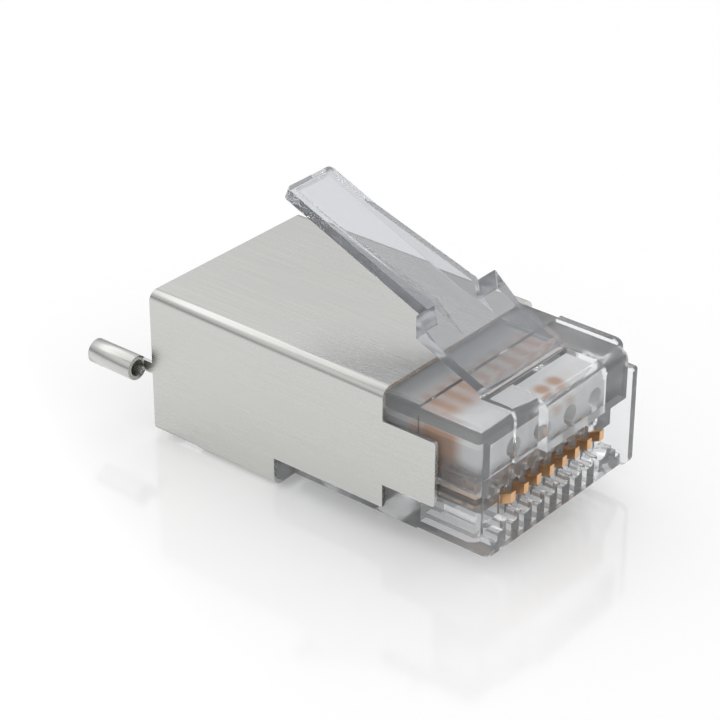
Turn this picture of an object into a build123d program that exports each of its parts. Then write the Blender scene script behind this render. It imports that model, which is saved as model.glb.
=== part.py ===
from build123d import *
import os
from math import radians, sin, cos

# A shielded eight-way modular plug: a clear moulded housing with a sprung latch, eight flat
# contacts, a wire guide and a folded sheet shield that ends in a small crimp barrel.
# All sizes are in millimetres. Depth (Y) is counted from the front face towards the cable,
# X runs across the plug and Z up from the face that the plug rests on.

# Overall
plug_width = 11.68
plug_length = 21.46
plug_height = 8.1
fit = 0.02                      # clearance between the shield and the housing
past = 1.0                      # how far a cut runs past the surface that it opens

# Shield
sheet = 0.22
bend_radius = 0.32              # inside radius of the shield's folds
shield_top_front = 6.5          # depth at which the top plate starts
wing_front = 3.37               # depth at which the side wings start
wing_top = 6.4
wing_bottom = 2.9
middle_skirt = 1.64             # height of the side wall's lower edge ahead of the band
band_front = 13.35
band_rear = 18.52
rear_skirt = 0.28
band_seam = 0.12
band_seam_at = 2.4              # the seam across the band lies this far from the middle
wing_corner = 0.2

# Crimp barrel for the drain wire
barrel_radius = 0.66
barrel_length = 2.85
neck_length = 0.62
neck_height = 0.6
barrel_height = 3.75
barrel_seam = 0.08

# Housing
edge_radius = 0.3
side_wall = 0.4                 # thickness of the walls on both sides of the nose
nose_depth = 4.6                # depth at which the nose starts, ahead of the full body
nose_drop = 0.18                # how far the nose's top lies under the housing's top
nose_radius = 0.6
nose_front = 0.3                # depth of the nose's front face, behind the walls' front edges
left_front = 1.0                # the nose's left part, beside the root leg, stands further back
left_radius = 0.5
left_inset = 0.1                # and is set in from the housing's side
left_edge_radius = 0.2
right_wall_step = 6.7           # below this height the right wall reaches forward to the front plane
left_wall_step = 2.1            # and the left wall to the nose's front
wall_step_corner = 0.15
upper_wall_front = 0.9
upper_wall_corner = 0.4
toe_radius = 0.5
front_floor = 1.15              # height of the underside at the contacts
floor_ramp_front = 12.2
floor_ramp_rear = 13.1
housing_inset = 0.5             # how far the housing's rear stays inside the shield

# Contact comb, between open pockets that have stepped floors
pitch = 1.02
ways = 8
comb_front = 0.45               # depth of the ledge and of the dividers' front edges
comb_wall = 0.5                 # thickness of the notched front wall, behind which the slots go down
comb_back = 1.15                # depth of the wall that the contacts' toes come out of
comb_margin = 0.155             # from the outermost slots to the comb's sides
pocket_top = 3.2                # the pockets beside the comb end under the wire guide's cavity
bay_top = 5.0
notch_radius = 0.42
ledge_height = 2.63
groove_height = 1.9             # height that the first step falls to behind the ledge
step_fall = 0.43                # each further step's ledge is this much lower
groove_fall = 0.25
steps = 3
ramp_top = 1.05                 # depths at which a step's outline starts to fall, turns and ends falling
ramp_turn = 1.35
ramp_foot = 1.8
ramp_share = 0.55               # how much of the fall lies ahead of the turn
ramp_radius = 0.4

# Contacts
contact_thickness = 0.35
slot_clearance = 0.03
toe_front = 0.5
toe_height = 3.3                # of the toe's lower edge at its tip
toe_fall = 0.25                 # from the tip to the toe's root
contact_rear = 4.27
contact_bottom = 2.6
contact_depth = 0.55            # height of the contact's strip
contact_heel_radius = 0.15
tine_width = 0.5
tine_count = 3
tine_front = 2.2
low_tine_top = 4.15
high_tine_top = 5.2
tine_tip = 0.25

# Wire guide and the cavity that it sits in
guide_front = 1.6
guide_length = 6.2
guide_bottom = 3.5
guide_height = 2.9
guide_wall = 0.28               # from the outermost wires to the guide's sides
guide_clearance = 0.05
guide_corner = 0.3
wire_radius = 0.5
low_wire_height = 4.45
high_wire_height = 5.5

# Cable cavity, open at the rear
cable_half_width = 4.3
cable_floor = 1.0
cable_roof = 7.1
cable_front = 13.6
cable_corner = 1.1
throat_front = 8.6

# Strain reliefs pressed into the cable from below
relief_half_width = 4.0
wire_relief_front = 8.6
wire_relief_length = 1.7
wire_relief_rise = 1.4
jacket_relief_front = 14.4
jacket_relief_length = 2.6
jacket_relief_rise = 0.7
relief_gap = 0.3
relief_web = 0.28

# Latch
latch_angle = 22.6              # degrees above the housing's top at rest
pivot_depth = 2.95
knuckle_radius = 0.3
knuckle_clearance = 0.03
root_half_width = 3.05
root_wall = 0.2                 # thickness of the root bar in front of the knuckle
root_drop = 0.1                 # how far the root bar's top stays below the knuckle's middle
leg_inner = 1.3                 # the root leg runs from here out to the latch's left edge
leg_rise = 0.2
leg_front = 0.85
strap_thickness = 0.54
ear_start = 2.7
ear_end = 4.05
ear_peak = 0.85
tail_half_width = 1.65
tail_end = 14.25
tail_plate = 0.34
floor_run = 1.0                 # past the ears, where the strap thins down to the channel's floor
rail_width = 0.38
rail_peak_at = 4.62
rail_peak = 0.95
rail_low_at = 11.1
rail_low = 0.36
end_wall = 0.34
tail_corner = 0.3

# Sizes that follow
half_width = plug_width / 2
housing_half = half_width - sheet - fit
housing_top = plug_height - sheet - fit
housing_bottom = sheet + fit
housing_rear = plug_length - housing_inset
nose_half = housing_half - side_wall
nose_top = housing_top - nose_drop
left_half = housing_half - left_inset
slot_width = contact_thickness + 2 * slot_clearance
first_way = -pitch * (ways - 1) / 2
comb_half = -first_way + slot_width / 2 + comb_margin
step_width = (nose_half - comb_half) / steps
contact_top = contact_bottom + contact_depth
toe_top = toe_height + contact_depth
guide_rear = guide_front + guide_length
guide_half_width = wire_radius + guide_wall - first_way
pivot_height = housing_top + knuckle_radius + knuckle_clearance
rest_depth = (band_front + band_rear) / 2


def block(x0, x1, y0, y1, z0, z1):
    """A plain block between two corners."""
    middle = Pos((x0 + x1) / 2, (y0 + y1) / 2, (z0 + z1) / 2)
    return middle * Box(x1 - x0, y1 - y0, z1 - z0)


def side_profile(points, x0, x1):
    """A plate across the plug whose outline is (depth, height, corner radius)."""
    outline = make_face(Polyline([(y, z) for y, z, radius in points], close=True))
    for y, z, radius in points:
        if radius:
            corner = outline.vertices().sort_by_distance((y, z, 0))[0]
            outline = fillet(corner, radius)
    return Pos(x0, 0, 0) * extrude(Plane.YZ * outline, amount=x1 - x0)


def tube_section(half, low, high, corner, y0, y1):
    """A rounded block that runs along the plug, for cavities and folded sheet."""
    outline = Pos(0, (low + high) / 2) * RectangleRounded(2 * half, high - low, corner)
    return Pos(0, y1, 0) * extrude(Plane.XZ * outline, amount=y1 - y0)


def way_position(way):
    """The place of a contact across the plug, and whether its wire lies in the upper row."""
    return first_way + way * pitch, way % 2 == 1


def falling_line(front, tip, high, low):
    """Points of an edge that is level behind the front, falls in a bend and then runs level."""
    turn = high - (high - low) * ramp_share
    return [(front, tip, 0), (ramp_top, high, 0), (ramp_turn, turn, 0), (ramp_foot, low, ramp_radius)]


def nose_block(front, top, radius, rear, x0, x1):
    """One stretch of the nose above the contact bay, with a rounded front top edge."""
    return side_profile([(front, bay_top, 0), (front, top, radius), (rear, top, 0), (rear, bay_top, 0)], x0, x1)


def front_wall(front, step, upper_front, top, corner, x0, x1):
    """A wall beside the nose that reaches further forward below a step."""
    return side_profile(
        [(front, front_floor, toe_radius), (front, step, wall_step_corner), (upper_front, step, 0),
         (upper_front, top, corner), (nose_depth, top, 0), (nose_depth, front_floor, 0)], x0, x1)


def housing_blank():
    """The housing before its cavities: a deep rear block, side walls and the nose between them."""
    body = side_profile(
        [(nose_depth, front_floor, 0), (nose_depth, housing_top, 0), (housing_rear, housing_top, 0),
         (housing_rear, housing_bottom, 0), (floor_ramp_rear, housing_bottom, 0),
         (floor_ramp_front, front_floor, 0)], -housing_half, housing_half)
    long_edges = body.edges().filter_by(Axis.Y)
    body = fillet(long_edges.filter_by(lambda e: e.center().Z > nose_top), edge_radius)
    long_edges = body.edges().filter_by(Axis.Y)
    body = fillet(long_edges.filter_by(lambda e: e.center().Z < front_floor), edge_radius)
    body += front_wall(0, right_wall_step, upper_wall_front, housing_top, upper_wall_corner,
                       nose_half, housing_half)
    left_part = nose_block(left_front, nose_top, left_radius, nose_depth, -left_half, -leg_inner) + \
        front_wall(nose_front, left_wall_step, left_front, bay_top, 0, -left_half, -nose_half)
    left_edge = left_part.edges().filter_by(Axis.Y).group_by(Axis.X)[0].sort_by(Axis.Z)[-1]
    body += fillet(left_edge, left_edge_radius)
    body += nose_block(nose_front, nose_top, nose_radius, nose_depth, -leg_inner, nose_half)
    return body + nose_block(leg_front, nose_top + leg_rise, left_radius, pivot_depth,
                             -root_half_width, -leg_inner)


def root_bar():
    """The bar across the nose whose rear side is the seat of the latch's knuckle."""
    groove = knuckle_radius + knuckle_clearance
    bar = block(-root_half_width, root_half_width, pivot_depth - groove - root_wall, pivot_depth,
                nose_top - nose_drop, pivot_height - root_drop)
    return fillet(bar.edges().filter_by(Axis.X).group_by(Axis.Y)[0].sort_by(Axis.Z)[-1], root_wall / 2)


def comb():
    """The block that holds the contacts, with floors that step down from it to the side walls."""
    body = side_profile(
        [(comb_front, front_floor, 0), (comb_front, ledge_height, 0), (comb_back, ledge_height, 0),
         (comb_back, bay_top, 0), (nose_depth, bay_top, 0), (nose_depth, front_floor, 0)], -comb_half, comb_half)
    body += block(-nose_half, nose_half, comb_back, nose_depth, pocket_top, bay_top)
    for step in range(steps):
        ledge = ledge_height - step * step_fall
        groove = groove_height - step * groove_fall
        line = falling_line(comb_front, ledge, ledge, groove)
        line += [(nose_depth, groove, 0), (nose_depth, front_floor, 0), (comb_front, front_floor, 0)]
        for side in (-1, 1):
            inner, outer = sorted((side * comb_half, side * (comb_half + (step + 1) * step_width)))
            body += side_profile(line, inner, outer)
    return body


def contact_slots():
    """Narrow slots for the contacts, open to the underside behind a front wall with round notches."""
    slots = Part()
    for way in range(ways):
        x, upper = way_position(way)
        left, right = x - slot_width / 2, x + slot_width / 2
        slots += block(left, right, comb_front + comb_wall, contact_rear + slot_clearance,
                       0, contact_top + slot_clearance)
        slots += block(left, right, comb_front, ramp_foot, ledge_height, toe_top + slot_clearance)
        slots += block(left, right, tine_front - slot_clearance, contact_rear + slot_clearance,
                       contact_bottom, guide_bottom)
        notch = Pos(x, (comb_front + comb_back) / 2, ledge_height)
        slots += notch * Rot(90, 0, 0) * Cylinder(notch_radius, comb_back - comb_front)
    return slots


def strain_relief(front, length, floor, rise, window_top):
    """A wedge bar in the floor, held by its front web, with a gap on its other three sides."""
    window = block(-relief_half_width, relief_half_width, front, front + length, 0, window_top)
    bar = side_profile(
        [(front + relief_gap, floor, 0), (front + relief_gap + relief_web, floor + relief_web + rise, 0),
         (front + length - relief_gap, floor + relief_web, 0), (front + length - relief_gap, floor, 0)],
        -relief_half_width + relief_gap, relief_half_width - relief_gap)
    web = block(-relief_half_width + relief_gap, relief_half_width - relief_gap,
                front, front + 2 * relief_gap, floor, floor + relief_web)
    return window, bar + web


def housing():
    body = housing_blank() + root_bar() + comb() - contact_slots()
    # Cavities for the wire guide and the cable, joined by a throat
    room = guide_clearance
    guide_half = guide_half_width + room
    guide_top = guide_bottom + guide_height + room
    body -= block(-guide_half, guide_half, guide_front - room, throat_front, guide_bottom, guide_top)
    body -= tube_section(cable_half_width, cable_floor, cable_roof, cable_corner, cable_front, housing_rear)
    small_end = Plane.XZ.offset(-throat_front) * Pos(0, (guide_bottom + guide_top) / 2) * \
        RectangleRounded(2 * guide_half, guide_top - guide_bottom, guide_corner)
    large_end = Plane.XZ.offset(-cable_front) * Pos(0, (cable_floor + cable_roof) / 2) * \
        RectangleRounded(2 * cable_half_width, cable_roof - cable_floor, cable_corner)
    body -= loft([small_end, large_end])
    # Strain reliefs
    window, bar = strain_relief(wire_relief_front, wire_relief_length, front_floor, wire_relief_rise, guide_bottom)
    body = body - window + bar
    window, bar = strain_relief(jacket_relief_front, jacket_relief_length, housing_bottom,
                                jacket_relief_rise, cable_floor)
    body = body - window + bar
    # Seat of the latch's knuckle
    seat = Pos(0, pivot_depth, pivot_height) * Rot(0, 90, 0) * \
        Cylinder(knuckle_radius + knuckle_clearance, 2 * (root_half_width + past))
    return body - seat


def contact(way):
    """A strip that drops in a bend behind its toe, with tines that pierce the wire above it."""
    x, upper = way_position(way)
    tine_top = high_tine_top if upper else low_tine_top
    toe_root = toe_height - toe_fall
    lower = falling_line(toe_front, toe_height, toe_root, contact_bottom)
    higher = falling_line(toe_front, toe_top, toe_root + contact_depth, contact_top)
    strip = lower + [(contact_rear, contact_bottom, contact_heel_radius),
                     (contact_rear, contact_top, contact_heel_radius)] + higher[::-1]
    blade = side_profile(strip, x - contact_thickness / 2, x + contact_thickness / 2)
    tine_run = contact_rear - contact_heel_radius - tine_front
    for tine in range(tine_count):
        start = tine_front + tine * (tine_run - tine_width) / (tine_count - 1)
        root = contact_top - contact_heel_radius
        blade += side_profile(
            [(start, root, 0), (start, tine_top - tine_tip, 0), (start + tine_width / 2, tine_top, 0),
             (start + tine_width, tine_top - tine_tip, 0), (start + tine_width, root, 0)],
            x - contact_thickness / 2, x + contact_thickness / 2)
    return blade


def wire_guide():
    """A block with eight staggered wire holes, and slots below them for the contacts' tines."""
    guide = block(-guide_half_width, guide_half_width, guide_front, guide_rear,
                  guide_bottom, guide_bottom + guide_height)
    guide = chamfer(guide.edges().filter_by(Axis.Y), guide_corner)
    for way in range(ways):
        x, upper = way_position(way)
        height = high_wire_height if upper else low_wire_height
        hole = Pos(x, (guide_front + guide_rear) / 2, height) * Rot(90, 0, 0) * \
            Cylinder(wire_radius, guide_length)
        guide -= hole
        guide -= block(x - slot_width / 2, x + slot_width / 2, guide_front,
                       contact_rear + slot_clearance, guide_bottom, height)
    return guide


def latch():
    """The latch, drawn flat along its own length and then tilted about its knuckle."""
    low = -strap_thickness / 2
    high = strap_thickness / 2
    knuckle = Rot(0, 90, 0) * Cylinder(knuckle_radius, 2 * root_half_width)
    strap = block(-root_half_width, root_half_width, 0, ear_end, low, high)
    lean = (ear_peak - low) * sin(radians(latch_angle)) / cos(radians(latch_angle))
    ear_outline = [(ear_start, low, 0), (ear_start, high, 0), (ear_end + lean, ear_peak, 0), (ear_end, low, 0)]
    ears = side_profile(ear_outline, -root_half_width, -tail_half_width) + \
        side_profile(ear_outline, tail_half_width, root_half_width)
    rail_outline = [(ear_start, low, 0), (ear_start, high, 0), (rail_peak_at, rail_peak, 0),
                    (rail_low_at, rail_low, 0), (tail_end, rail_low, 0), (tail_end, low, 0)]
    tail = side_profile(rail_outline, -tail_half_width, tail_half_width)
    channel = block(-tail_half_width + rail_width, tail_half_width - rail_width,
                    ear_start, tail_end - end_wall, low + tail_plate, rail_peak + past)
    tail -= channel
    tail = fillet(tail.edges().filter_by(Axis.Z).group_by(Axis.Y)[-1], tail_corner)
    floor = side_profile(
        [(ear_start, low, 0), (ear_start, high, 0),
         (ear_end + floor_run, low + tail_plate, 0), (ear_end + floor_run, low, 0)],
        -tail_half_width, tail_half_width)
    flat = knuckle + strap + ears + tail + floor
    return Pos(0, pivot_depth, pivot_height) * Rot(latch_angle, 0, 0) * flat


def shield():
    ring_outer = bend_radius + sheet
    outer = tube_section(half_width, 0, plug_height, ring_outer, wing_front, plug_length)
    inner = tube_section(half_width - sheet, sheet, plug_height - sheet, bend_radius, wing_front, plug_length)
    wrap = outer - inner
    side = half_width + past
    wrap -= block(-side, side, 0, shield_top_front, wing_top, plug_height + past)
    wrap -= block(-side, side, 0, shield_top_front, -past, wing_bottom)
    wrap -= block(-side, side, shield_top_front, band_front, -past, middle_skirt)
    wrap -= block(-side, side, band_rear, plug_length + past, -past, rear_skirt)
    wrap -= block(band_seam_at, band_seam_at + band_seam, band_front, band_rear, -past, sheet + bend_radius)
    corners = wrap.edges().filter_by(Axis.X).filter_by(lambda e: abs(e.center().Y - wing_front) < 0.01)
    wrap = fillet(corners, wing_corner)
    # The barrel: a neck from the side wall's rear edge, rolled outwards into a tube
    barrel_x = -half_width + sheet - barrel_radius
    barrel_start = plug_length + neck_length
    neck = block(-half_width, -half_width + sheet, plug_length - sheet, barrel_start + barrel_length / 4,
                 barrel_height - neck_height / 2, barrel_height + neck_height / 2)
    centre = Pos(barrel_x, barrel_start + barrel_length / 2, barrel_height)
    tube = centre * Rot(90, 0, 0) * Cylinder(barrel_radius, barrel_length)
    bore = centre * Rot(90, 0, 0) * Cylinder(barrel_radius - sheet, barrel_length + 2 * sheet)
    seam = block(barrel_x, barrel_x + barrel_radius, barrel_start, barrel_start + barrel_length,
                 barrel_height + neck_height / 2, barrel_height + neck_height / 2 + barrel_seam)
    return wrap + (neck + tube - bore - seam)


def save(piece, name):
    solids = piece.solids()
    print(name, "solids", len(solids), "volume", round(sum(s.volume for s in solids), 4))
    export_step(Pos(0, -rest_depth, 0) * piece, f"parts/{name}.step")


os.makedirs("parts", exist_ok=True)
save(housing(), "housing")
save(latch(), "latch")
save(wire_guide(), "wire_guide")
save(shield(), "shield")
for way in range(ways):
    save(contact(way), f"contact_{way + 1}")
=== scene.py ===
# %% [markdown]
# # A shielded modular plug
# This notebook dresses a plug for eight-wire network cable. Its shapes come from a CAD model: a
# clear housing with a springy latch, eight contacts, a wire guide and a folded sheet shield. What
# is left to make is what the eye reads as plastic, plated sheet and metal strip, and a small photo
# studio. The CAD shapes could be modelled again in Blender, but they are exact already, so each
# one keeps its form and gets softened edges and a material.

# %% Load the frame
import bpy
from math import pi, radians
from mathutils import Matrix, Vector

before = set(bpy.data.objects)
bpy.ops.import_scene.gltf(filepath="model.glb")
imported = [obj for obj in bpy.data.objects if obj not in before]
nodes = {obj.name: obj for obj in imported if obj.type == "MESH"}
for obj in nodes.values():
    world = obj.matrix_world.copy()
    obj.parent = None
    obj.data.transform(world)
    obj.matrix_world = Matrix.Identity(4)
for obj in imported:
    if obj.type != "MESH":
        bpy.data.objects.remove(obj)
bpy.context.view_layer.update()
MM = 0.001
print("nodes:", sorted(nodes))

# %% [markdown]
# ## Camera
# A product this small is photographed from well back with a long lens, so that its sides stay
# nearly parallel. The picture looks down on the plug's left side and its front. The camera could
# be aimed with a constraint, but three values say the same and can be read: where it stands, how
# far round it is turned, and how far it tips down.

# %% Camera
camera_eye = Vector((-82.201, -71.542, 65.732)) * MM
camera_azimuth = radians(-50.27)
camera_elevation = radians(29.66)
camera_data = bpy.data.cameras.new("camera")
camera_data.lens = 123.55
camera_data.sensor_width = 36
camera_data.clip_start = 1 * MM
camera = bpy.data.objects.new("camera", camera_data)
bpy.context.scene.collection.objects.link(camera)
camera.location = camera_eye
camera.rotation_euler = (pi / 2 - camera_elevation, 0, camera_azimuth)
bpy.context.scene.camera = camera
bpy.context.scene.view_settings.view_transform = "Standard"
print("camera is", round(camera_eye.length / MM), "mm from the plug")

# %% [markdown]
# ## Light through clear walls
# A ray that enters this housing meets a dozen thin clear walls before it leaves again. A renderer
# gives up after a set number of walls and returns black, which shows as soot in the corners. Fewer
# walls would cure that too, but they are the object, so the limit goes up instead.

# %% Light through clear walls
cycles = bpy.context.scene.cycles
cycles.max_bounces = 48
cycles.transmission_bounces = 48
cycles.glossy_bounces = 12
cycles.transparent_max_bounces = 32
print("a ray may cross", cycles.transmission_bounces, "surfaces")

# %% [markdown]
# ## Colours and nodes
# A designer notes colours as hex codes, which are display values. A renderer adds light, so it
# needs them linear. One function turns the first into the second. Another adds a shader node, sets
# what it is told to and links its inputs, so that each material below reads as a short list.

# %% Colours and nodes
def linear(code):
    """The linear colour of an sRGB hex code such as #C8C8C4."""
    values = [int(code[k:k + 2], 16) / 255 for k in (1, 3, 5)]
    return [v / 12.92 if v <= 0.04045 else ((v + 0.055) / 1.055) ** 2.4 for v in values] + [1.0]


def add_node(tree, kind, settings=None, **inputs):
    """A node with its settings and inputs. i0 is input 0, and _ in a name stands for a space."""
    node = tree.nodes.new(kind)
    for name, value in (settings or {}).items():
        setattr(node, name, value)
    for name, value in inputs.items():
        numbered = name[0] == "i" and name[1:].isdigit()
        socket = node.inputs[int(name[1:])] if numbered else node.inputs[name.replace("_", " ")]
        if isinstance(value, bpy.types.NodeSocket):
            tree.links.new(value, socket)
        else:
            socket.default_value = value
    return node


def new_material(name):
    """An empty material, and its node tree."""
    material = bpy.data.materials.new(name)
    material.use_nodes = True
    material.node_tree.nodes.clear()
    return material, material.node_tree


print("plated sheet in linear light:", [round(v, 3) for v in linear("#C8C8C5")])

# %% [markdown]
# ## Places in millimetres
# Every pattern on a plug has a real size: a brush line, a flow mark, the space between two
# contacts. So each pattern starts from the object's own coordinates, in millimetres, and divides
# them by the size of its grain. Generated coordinates would stretch with each piece's box, and a
# pattern on two pieces would not agree. Noise seldom comes near 0 or 1, so where it sets a
# roughness, its common range is what is spread from the least roughness to the most.

# %% Places in millimetres
common_noise = {"From_Min": 0.3, "From_Max": 0.7}


def millimetres(tree):
    """The place on the object, in millimetres."""
    place = add_node(tree, "ShaderNodeTexCoord")
    return add_node(tree, "ShaderNodeVectorMath", {"operation": "SCALE"},
                    i0=place.outputs["Object"], Scale=1 / MM).outputs[0]


def grain(tree, size, detail=2.0):
    """Noise from 0 to 1, its grains as wide, long and high as the size says, in millimetres."""
    cells = add_node(tree, "ShaderNodeVectorMath", {"operation": "MULTIPLY"},
                     i0=millimetres(tree), i1=[1 / length for length in size])
    return add_node(tree, "ShaderNodeTexNoise", Vector=cells.outputs[0], Scale=1.0,
                    Detail=detail).outputs["Fac"]


print("noise counts from", common_noise["From_Min"], "to", common_noise["From_Max"])

# %% [markdown]
# ## White studio
# The picture is a catalogue shot: white all round, with soft light from above. Clear plastic and
# metal have no look of their own, they show what is around them, so a wholly even white would make
# both vanish. The world is therefore brightest about 40 degrees up. It falls to grey at the
# horizon, which draws the dark outlines on the clear edges and the shade under the fold of the
# shield, and it is a paler grey overhead, so that the shield's flat top doesn't clip.

# %% White studio
horizon_to_top = [(0.0, "#86888A"), (0.08, "#929496"), (0.2, "#C8CACC"), (0.35, "#E2E2E2"),
                  (0.5, "#F0F0F0"), (0.65, "#F8F8F8"), (0.85, "#CCCCCC"), (1.0, "#BCBCBC")]
world = bpy.data.worlds.new("white_studio")
world.use_nodes = True
world.node_tree.nodes.clear()
bpy.context.scene.world = world
direction = add_node(world.node_tree, "ShaderNodeTexCoord")
height = add_node(world.node_tree, "ShaderNodeSeparateXYZ", Vector=direction.outputs["Generated"])
ramp = add_node(world.node_tree, "ShaderNodeValToRGB", Fac=height.outputs["Z"])
while len(ramp.color_ramp.elements) < len(horizon_to_top):
    ramp.color_ramp.elements.new(0.5)       # anywhere, since each gets its place below
for element, (place, code) in zip(ramp.color_ramp.elements, horizon_to_top):
    element.position = place
    element.color = linear(code)
sky = add_node(world.node_tree, "ShaderNodeBackground", Color=ramp.outputs["Color"], Strength=1.0)
add_node(world.node_tree, "ShaderNodeOutputWorld", Surface=sky.outputs[0])
print("sky has", len(horizon_to_top), "stops")

# %% [markdown]
# ## Table top
# The plug stands on a white gloss sheet, such as acrylic, that mirrors it faintly. A painted card
# would be simpler but has no mirror image. To the camera, and in what the metal and the clear
# walls show, the sheet glows a little, which lifts it to paper white while it keeps the plug's
# shadow.

# %% Table top
paper_lift = 0.21               # strength of that glow, where 1 would be full white by itself
table_reach = 1500 * MM         # far enough for its edge to stay out of low views
table_gap = 0.05 * MM           # keeps the table just clear of the plug's underside


def gloss_white_acrylic():
    """Cast acrylic sheet: opaque white with a polished face."""
    material, tree = new_material("gloss_white_acrylic")
    rays = add_node(tree, "ShaderNodeLightPath")
    seen = add_node(tree, "ShaderNodeMath", {"operation": "MAXIMUM"},
                    i0=rays.outputs["Is Camera Ray"], i1=rays.outputs["Is Glossy Ray"])
    seen = add_node(tree, "ShaderNodeMath", {"operation": "MAXIMUM"},
                    i0=seen.outputs[0], i1=rays.outputs["Is Transmission Ray"])
    lift = add_node(tree, "ShaderNodeMath", {"operation": "MULTIPLY"},
                    i0=seen.outputs[0], i1=paper_lift)
    shader = add_node(tree, "ShaderNodeBsdfPrincipled", Base_Color=linear("#F2F2F2"),
                      Roughness=0.1, Specular_IOR_Level=0.9, Emission_Color=linear("#FFFFFF"),
                      Emission_Strength=lift.outputs[0])
    add_node(tree, "ShaderNodeOutputMaterial", Surface=shader.outputs[0])
    return material


table_mesh = bpy.data.meshes.new("table_top")
table_mesh.from_pydata([(-table_reach, -table_reach, 0), (table_reach, -table_reach, 0),
                        (table_reach, table_reach, 0), (-table_reach, table_reach, 0)],
                       [], [(0, 1, 2, 3)])
table = bpy.data.objects.new("table_top", table_mesh)
bpy.context.scene.collection.objects.link(table)
table.location.z = -table_gap
table_mesh.materials.append(gloss_white_acrylic())
print("table is", round(2 * table_reach / MM), "mm wide")

# %% [markdown]
# ## Softbox
# One large soft lamp above and behind the plug does three things: it runs a bright line along the
# fold of the shield, lights the latch from behind, and throws a soft shadow towards the camera. A
# sun lamp would throw a hard one. The softbox is wide and dim rather than small and bright, so
# that its own mirror image in the shield stays grey.

# %% Softbox
softbox_place = Vector((30, 200, 360)) * MM
softbox_data = bpy.data.lights.new("rear_softbox", "AREA")
softbox_data.shape = "SQUARE"
softbox_data.size = 460 * MM
softbox_data.energy = 0.45
softbox = bpy.data.objects.new("rear_softbox", softbox_data)
bpy.context.scene.collection.objects.link(softbox)
softbox.location = softbox_place
softbox.rotation_euler = (-softbox_place).to_track_quat("-Z", "Y").to_euler()
print("softbox is", round(softbox_place.length / MM), "mm away")

# %% [markdown]
# ## Clear polycarbonate
# Housing and latch are polycarbonate, moulded in a polished steel tool. It is nearly as clear as
# glass, with a faint grey of its own that adds up over a long path, so the tint is in the volume
# and not painted on the face. The tool's polish leaves it smooth, with drawn-out patches that are a
# little duller, where the melt flowed. A bump could show those too, but a ray meets a dozen walls
# in here and each bump would turn it further aside, so roughness does it alone. A tenth of the
# light is scattered inside, which shows as a pale haze in the nose's dark corners.
# Solid polycarbonate bends light by 1.58. In a picture this size that turns the nose into a prism
# in which nothing can be read, so the index is lowered until the contacts show as in a real plug.
# A glass shader would do as well, but this one is what other programs can read.
# The shadow of clear plastic is pale. Tracing it exactly needs thousands of samples, so for shadow
# rays the plastic is a plain pale filter.

# %% Clear polycarbonate
flow_mark = 0.5                 # mm wide, and three times as long, the way the melt flowed
housing_index = 1.25            # of refraction, lowered from 1.58
haze = 0.1                      # share of the light that the plastic scatters


def clear_polycarbonate(name, colour, density):
    """Moulded polycarbonate: clear and polished, with duller flow marks and a grey depth."""
    material, tree = new_material(name)
    flow = grain(tree, (flow_mark, 3 * flow_mark, flow_mark))
    polish = add_node(tree, "ShaderNodeMapRange", Value=flow, **common_noise,
                      To_Min=0.01, To_Max=0.035)
    plastic = add_node(tree, "ShaderNodeBsdfPrincipled", Base_Color=linear(colour),
                       Roughness=polish.outputs[0], IOR=housing_index,
                       Transmission_Weight=1 - haze)
    tint = add_node(tree, "ShaderNodeVolumeAbsorption", Color=linear("#A9AEB2"), Density=density)
    rays = add_node(tree, "ShaderNodeLightPath")
    pale_filter = add_node(tree, "ShaderNodeBsdfTransparent", Color=linear("#F8F8F8"))
    shown = add_node(tree, "ShaderNodeMixShader", i0=rays.outputs["Is Shadow Ray"],
                     i1=plastic.outputs[0], i2=pale_filter.outputs[0])
    add_node(tree, "ShaderNodeOutputMaterial", Surface=shown.outputs[0], Volume=tint.outputs[0])
    return material


clear = clear_polycarbonate("clear_polycarbonate", "#FBFCFD", density=10.0)
smoky = clear_polycarbonate("clear_polycarbonate_latch", "#DADCDF", density=20.0)
print("clear plastics:", clear.name, smoky.name)

# %% [markdown]
# ## Frosted polycarbonate
# The wire guide is a small block inside the nose, moulded in a sanded tool, so it looks white.
# Seen through the clear nose, the copper of the contacts tints it: two blurred spots near the
# middle of its top, a striped band behind them, and a patch on each flank. Real refraction through
# a lowered index cannot carry that colour so far, so the copper's light is painted into the guide's
# own colour. It is a painted image of the copper behind it, not a colour that the white guide has.
# Each mark is a few fades multiplied, and the strongest mark shows. They follow the contacts: the
# stripes repeat at the contact pitch. The guide's lower part is clearer, because there the
# contacts themselves stand in it.

# %% Where the painted copper shows
contact_pitch = 1.02            # mm between two contacts
origin_depth = 15.935           # mm from the plug's front face back to the frame's origin
spot_depth, band_depth, patch_depth = 2.0, 4.75, 4.1        # mm behind the front face
# A fade is the painted copper's strength at two measures in millimetres: start, end, strength at
# each.
spot_fade = (0.68, 0.136, 0.0, 1.0)                         # from a spot's middle
pair_fade = (1.2, 0.8, 0.1, 1.0)                            # from the middle of the two spots
top_fade = (5.7, 6.2, 0.0, 1.0)                             # up the guide
band_fade = (1.6, 0.48, 0.0, 1.0)                           # from the band's middle
stripe_fade = (0.0, contact_pitch / 2, 1.0, 0.55)           # from a contact
patch_fade = (1.6, 0.64, 0.0, 1.0)                          # from a patch's middle
flank_fade = (4.0, 4.3, 0.0, 1.0)                           # out to a flank
milky_fade = (4.6, 5.4, 1.0, 0.0)                           # clearness, up the guide
print("guide's pattern repeats every", contact_pitch, "mm")

# %% Frosted polycarbonate
frost = 0.12                    # mm, the grain of the sanded tool, drawn coarse enough to show
guide_index = 1.3               # of refraction, lowered as the housing's is
smooth = {"interpolation_type": "SMOOTHSTEP"}


def distance_from(tree, value, centre):
    """How far the value is from the centre."""
    offset = add_node(tree, "ShaderNodeMath", {"operation": "SUBTRACT"}, i0=value, i1=centre)
    return add_node(tree, "ShaderNodeMath", {"operation": "ABSOLUTE"},
                    i0=offset.outputs[0]).outputs[0]


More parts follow.
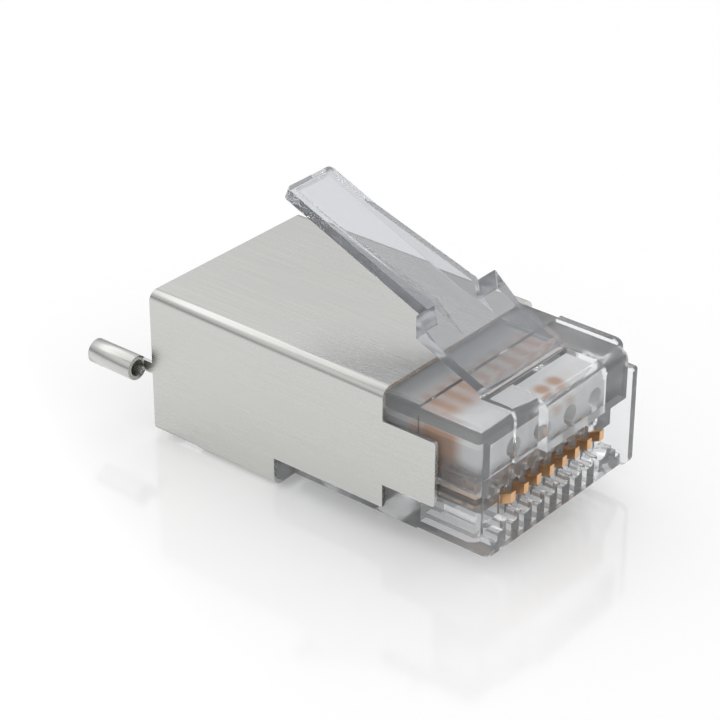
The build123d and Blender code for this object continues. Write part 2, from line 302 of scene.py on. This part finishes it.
def painted_copper_light(tree, side, along, up):
    """How strongly the painted copper light shows, from 0 to 1, at each place on the guide."""
    fold = add_node(tree, "ShaderNodeMath", {"operation": "PINGPONG"},
                    i0=side, i1=contact_pitch / 2)
    across = add_node(tree, "ShaderNodeMath", {"operation": "SUBTRACT"},
                      i0=contact_pitch / 2, i1=fold.outputs[0]).outputs[0]
    ahead = distance_from(tree, along, spot_depth - origin_depth)
    offset = add_node(tree, "ShaderNodeCombineXYZ", X=across, Y=ahead)
    from_spot = add_node(tree, "ShaderNodeVectorMath", {"operation": "LENGTH"},
                         i0=offset.outputs[0]).outputs["Value"]
    from_pair = distance_from(tree, side, contact_pitch)
    from_band = distance_from(tree, along, band_depth - origin_depth)
    from_patch = distance_from(tree, along, patch_depth - origin_depth)
    outwards = distance_from(tree, side, 0.0)
    painted_copper = 0.0
    for mark in ([(from_spot, spot_fade), (from_pair, pair_fade), (up, top_fade)],
                 [(from_band, band_fade), (across, stripe_fade)],
                 [(from_patch, patch_fade), (outwards, flank_fade)]):
        strength = 1.0
        for measure, (start, end, first, last) in mark:
            fade = add_node(tree, "ShaderNodeMapRange", smooth, Value=measure,
                            From_Min=start, From_Max=end, To_Min=first, To_Max=last)
            strength = add_node(tree, "ShaderNodeMath", {"operation": "MULTIPLY"},
                                i0=strength, i1=fade.outputs[0]).outputs[0]
        painted_copper = add_node(tree, "ShaderNodeMath", {"operation": "MAXIMUM"},
                        i0=painted_copper, i1=strength).outputs[0]
    return painted_copper


def frosted_polycarbonate():
    """Polycarbonate from a sanded tool: milky white, with the copper behind it painted on as light.
    """
    material, tree = new_material("frosted_polycarbonate")
    side, along, up = add_node(tree, "ShaderNodeSeparateXYZ", Vector=millimetres(tree)).outputs
    # painted light: the copper seen through the nose is painted into the guide's base colour
    colour = add_node(tree, "ShaderNodeMix", {"data_type": "RGBA"},
                      i0=painted_copper_light(tree, side, along, up),
                      i6=linear("#D6D6D6"), i7=linear("#A8681A"))
    start, end, first, last = milky_fade
    clearness = add_node(tree, "ShaderNodeMapRange", smooth, Value=up,
                         From_Min=start, From_Max=end, To_Min=first, To_Max=last)
    roughness = add_node(tree, "ShaderNodeMapRange", Value=grain(tree, (frost, frost, frost)),
                         **common_noise, To_Min=0.1, To_Max=0.22)
    plastic = add_node(tree, "ShaderNodeBsdfPrincipled", Base_Color=colour.outputs[2],
                       Roughness=roughness.outputs[0], IOR=guide_index,
                       Transmission_Weight=clearness.outputs[0])
    add_node(tree, "ShaderNodeOutputMaterial", Surface=plastic.outputs[0])
    return material


frosted = frosted_polycarbonate()
print("guide's plastic:", frosted.name)

# %% [markdown]
# ## Brushed nickel plate
# The shield is brass sheet, folded and then plated with nickel. The sheet was brushed along its
# length before that, and the plating keeps the lines: the eye sees a soft warm grey whose
# reflections are smeared, with fine streaks along the plug. An anisotropic shader would smear them
# too, but streaks of roughness also show the single lines.

# %% Brushed nickel plate
brush_line = 0.07               # mm wide, drawn a few times coarser than the real ones, to show
brush_length = 5.0              # mm
brush_depth = 0.0003            # mm
cloud = 3.0                     # mm, patches where the plating is a little duller


def brushed_nickel_plate():
    """Nickel plated on brushed sheet: a satin metal with fine lines along the plug."""
    material, tree = new_material("brushed_nickel_plate")
    lines = grain(tree, (brush_line, brush_length, brush_line), detail=3.0)
    satin = add_node(tree, "ShaderNodeMapRange", Value=lines, **common_noise,
                     To_Min=0.235, To_Max=0.285)
    duller = add_node(tree, "ShaderNodeMapRange", Value=grain(tree, (cloud, 2 * cloud, cloud)),
                      **common_noise, To_Min=-0.02, To_Max=0.02)
    roughness = add_node(tree, "ShaderNodeMath", {"operation": "ADD"},
                         i0=satin.outputs[0], i1=duller.outputs[0])
    colour = add_node(tree, "ShaderNodeMix", {"data_type": "RGBA"}, i0=lines,
                      i6=linear("#C8C8C5"), i7=linear("#D4D4D1"))
    relief = add_node(tree, "ShaderNodeBump", Strength=1.0, Distance=brush_depth * MM,
                      Height=lines)
    metal = add_node(tree, "ShaderNodeBsdfPrincipled", Base_Color=colour.outputs[2],
                     Metallic=1.0, Roughness=roughness.outputs[0], Normal=relief.outputs[0])
    add_node(tree, "ShaderNodeOutputMaterial", Surface=metal.outputs[0])
    return material


plated = brushed_nickel_plate()
print("brush lines are", brush_line, "mm wide")

# %% [markdown]
# ## Gold-flashed bronze
# The contacts are stamped from phosphor bronze strip, with a flash of gold too thin to hide its
# warm brown. Rolling the strip leaves lines along it, and handling leaves duller patches. Polished
# gold would be yellower and would mirror the white studio, which a stamped contact doesn't.

# %% Gold-flashed bronze
roll_line = 0.05                # mm wide
roll_length = 1.5               # mm
tarnish = 0.4                   # mm, patches where the brown is a little deeper


def gold_flashed_bronze():
    """Rolled bronze strip under a flash of gold: copper brown with lines along the strip."""
    material, tree = new_material("gold_flashed_bronze")
    lines = grain(tree, (roll_line, roll_length, roll_length))
    satin = add_node(tree, "ShaderNodeMapRange", Value=lines, **common_noise,
                     To_Min=0.27, To_Max=0.38)
    colour = add_node(tree, "ShaderNodeMix", {"data_type": "RGBA"},
                      i0=grain(tree, (tarnish, tarnish, tarnish)),
                      i6=linear("#DAA878"), i7=linear("#EBC299"))
    metal = add_node(tree, "ShaderNodeBsdfPrincipled", Base_Color=colour.outputs[2],
                     Metallic=1.0, Roughness=satin.outputs[0])
    add_node(tree, "ShaderNodeOutputMaterial", Surface=metal.outputs[0])
    return material


bronze = gold_flashed_bronze()
print("contact metal:", bronze.name)

# %% [markdown]
# ## Edges
# No real edge is perfectly sharp: the mould's corners have a radius, and a sheet's cut edge is
# dulled by the plating. Rounded edges catch the light as thin lines, which is most of what is seen
# of a clear part. The CAD mesh is cut into triangles, and a bevel would follow every one of them,
# so doubled points are welded and flat triangles joined first. Modelling each rounding in the CAD
# would be heavier and look the same.

# %% Edges
moulded_edge, guide_edge, sheet_edge = 0.05, 0.04, 0.03     # mm
contacts = 8


def finish_node(name, material, rounding):
    """Give a piece its material, and round its sharp edges by that many millimetres."""
    piece = nodes[name]
    piece.data.materials.clear()
    piece.data.materials.append(material)
    weld = piece.modifiers.new("weld", "WELD")
    weld.merge_threshold = 0.002 * MM
    flats = piece.modifiers.new("flats", "DECIMATE")
    flats.decimate_type = "DISSOLVE"
    flats.angle_limit = radians(0.5)
    edges = piece.modifiers.new("edges", "BEVEL")
    edges.width = rounding * MM
    edges.segments = 2
    edges.limit_method = "ANGLE"
    edges.angle_limit = radians(35)
    edges.use_clamp_overlap = True
    edges.harden_normals = True


finish_node("housing", clear, moulded_edge)
finish_node("latch", smoky, moulded_edge)
finish_node("wire_guide", frosted, guide_edge)
finish_node("shield", plated, sheet_edge)
for way in range(1, contacts + 1):
    finish_node(f"contact_{way}", bronze, sheet_edge)
print("pieces with a finish:", sum(1 for piece in nodes.values() if piece.modifiers))
